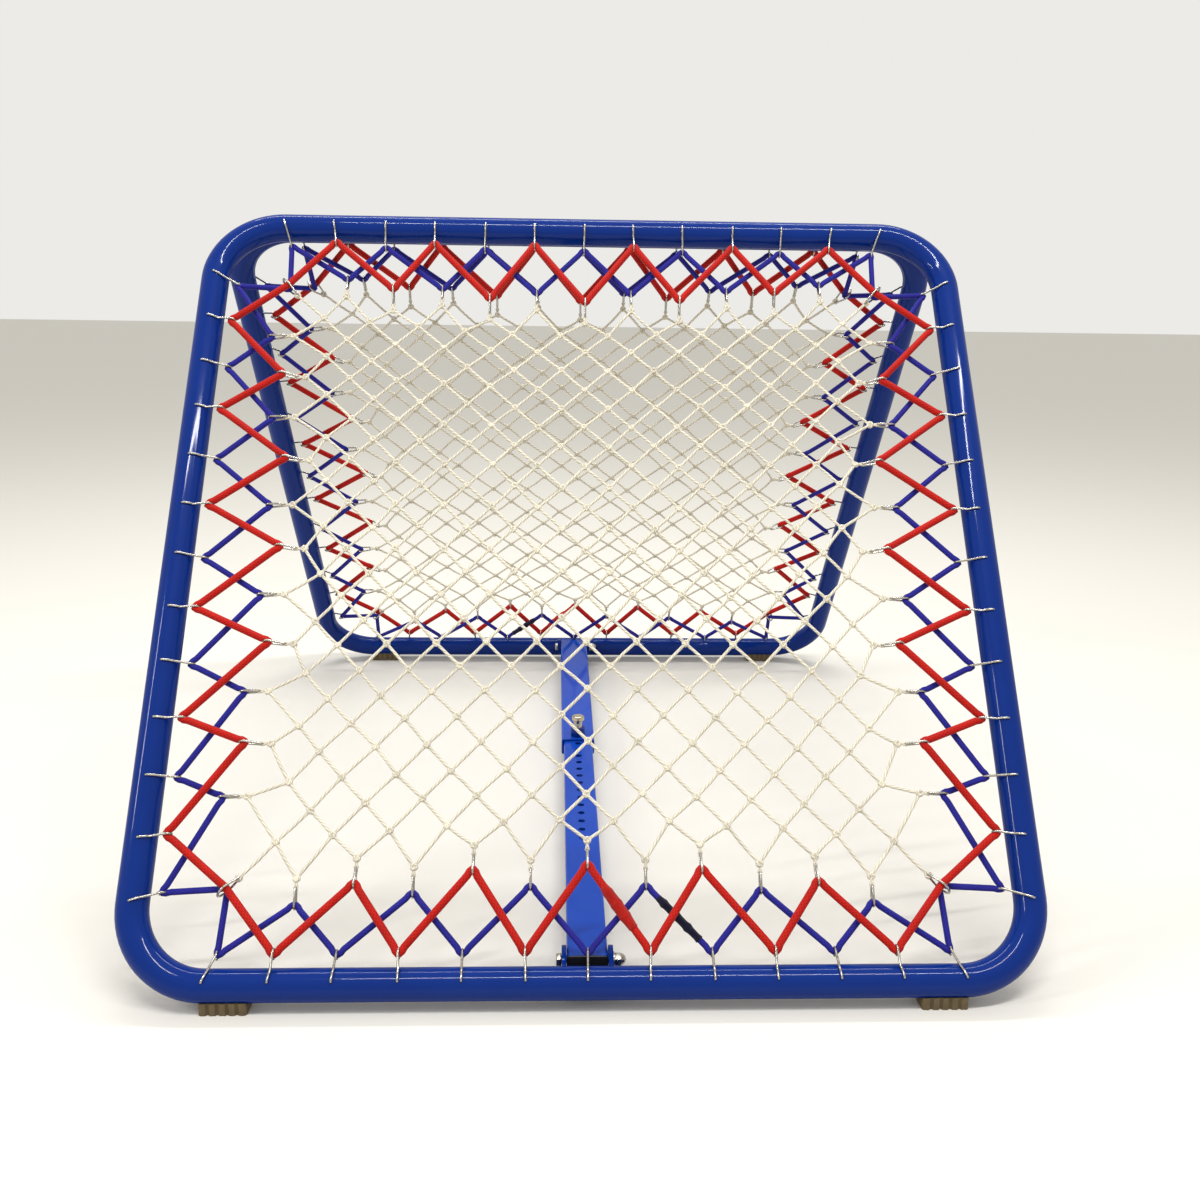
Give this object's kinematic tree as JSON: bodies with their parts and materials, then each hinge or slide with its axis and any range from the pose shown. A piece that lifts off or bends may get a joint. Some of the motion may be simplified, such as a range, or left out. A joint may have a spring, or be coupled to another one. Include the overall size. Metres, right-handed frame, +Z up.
{
  "type": "pitch back rebounder",
  "caption": "A-frame ball rebounder: square tube frames hinged at the top, each with a knotted net laced by elastic cords, held apart by a telescopic strut with a spring plunger.",
  "frame": {"origin": "on the floor, below the middle of the part", "axes": "+X along the tubes, +Y from the front frame to the rear frame, +Z up"},
  "size_m": [1, 1.2256, 0.8185],
  "materials": {
    "blue_powder_coat": "gloss powder coat",
    "strut_powder_coat": "gloss powder coat, a lighter blue",
    "zinc_steel": "bright zinc plate",
    "nickel_knob": "turned and nickel plated",
    "black_plastic": "moulded",
    "brown_rubber": "moulded, matt",
    "red_cord": "braided sleeve",
    "blue_cord": "braided sleeve",
    "cream_net": "knotted twine"
  },
  "bodies": {
    "strut_sleeve": {"strut_sleeve": "strut_powder_coat", "plunger_boss": "blue_powder_coat", "plunger_barrel": "zinc_steel", "plunger_spring": "zinc_steel"},
    "plunger": {"plunger_pin": "zinc_steel", "plunger_knob": "nickel_knob"},
    "rear_frame": {"rear_frame_tube": "blue_powder_coat", "rear_net": "cream_net", "rear_red_cord": "red_cord", "rear_red_splice": "red_cord", "rear_blue_cord": "blue_cord", "rear_blue_splice": "blue_cord", "rear_foot_left": "brown_rubber", "rear_foot_screw_left": "zinc_steel", "rear_bracket_ear_left": "blue_powder_coat", "rear_foot_right": "brown_rubber", "rear_foot_screw_right": "zinc_steel", "rear_bracket_ear_right": "blue_powder_coat", "rear_pivot_bolt": "zinc_steel", "rear_pivot_washer": "zinc_steel", "rear_pivot_nut": "zinc_steel", "hinge_left_rear_knuckle": "blue_powder_coat", "hinge_left_pin": "zinc_steel", "hinge_left_nut": "zinc_steel", "hinge_right_rear_knuckle": "blue_powder_coat", "hinge_right_pin": "zinc_steel", "hinge_right_nut": "zinc_steel"},
    "front_frame": {"front_frame_tube": "blue_powder_coat", "front_net": "cream_net", "front_red_cord": "red_cord", "front_red_splice": "red_cord", "front_blue_cord": "blue_cord", "front_blue_splice": "blue_cord", "front_foot_left": "brown_rubber", "front_foot_screw_left": "zinc_steel", "front_bracket_ear_left": "blue_powder_coat", "front_foot_right": "brown_rubber", "front_foot_screw_right": "zinc_steel", "front_bracket_ear_right": "blue_powder_coat", "front_pivot_bolt": "zinc_steel", "front_pivot_washer": "zinc_steel", "front_pivot_nut": "zinc_steel", "hinge_left_front_knuckle_a": "blue_powder_coat", "hinge_left_front_knuckle_b": "blue_powder_coat", "hinge_right_front_knuckle_a": "blue_powder_coat", "hinge_right_front_knuckle_b": "blue_powder_coat"},
    "strut_bar": {"strut_bar": "strut_powder_coat", "bar_end_plug": "black_plastic"}
  },
  "joints": [
    {"name": "rear_frame_pivot", "type": "hinge", "parent": "strut_sleeve", "child": "rear_frame", "pos_m": [0, 0.564, 0.0345], "axis": [1, 0, 0], "range_deg": [-12.33, 0]},
    {"name": "frame_fold", "type": "hinge", "parent": "rear_frame", "child": "front_frame", "pos_m": [0, 0, 0.79322], "axis": [1, 0, 0], "range_deg": [0, 24.65]},
    {"name": "strut_bar_pivot", "type": "hinge", "parent": "front_frame", "child": "strut_bar", "pos_m": [0, -0.564, 0.0345], "axis": [1, 0, 0], "range_deg": [-12.33, 0]},
    {"name": "plunger_pull", "type": "slide", "parent": "strut_sleeve", "child": "plunger", "axis": [0, 0, 1], "range_m": [0, 0.008], "stiffness_N_per_m": 1500, "springref_m": -0.008, "deforming": ["plunger_spring"]}
  ],
  "couplings": [
    {"joint": "rear_frame_pivot", "follows": "frame_fold", "ratio": -0.5},
    {"joint": "strut_bar_pivot", "follows": "frame_fold", "ratio": -0.5}
  ]
}
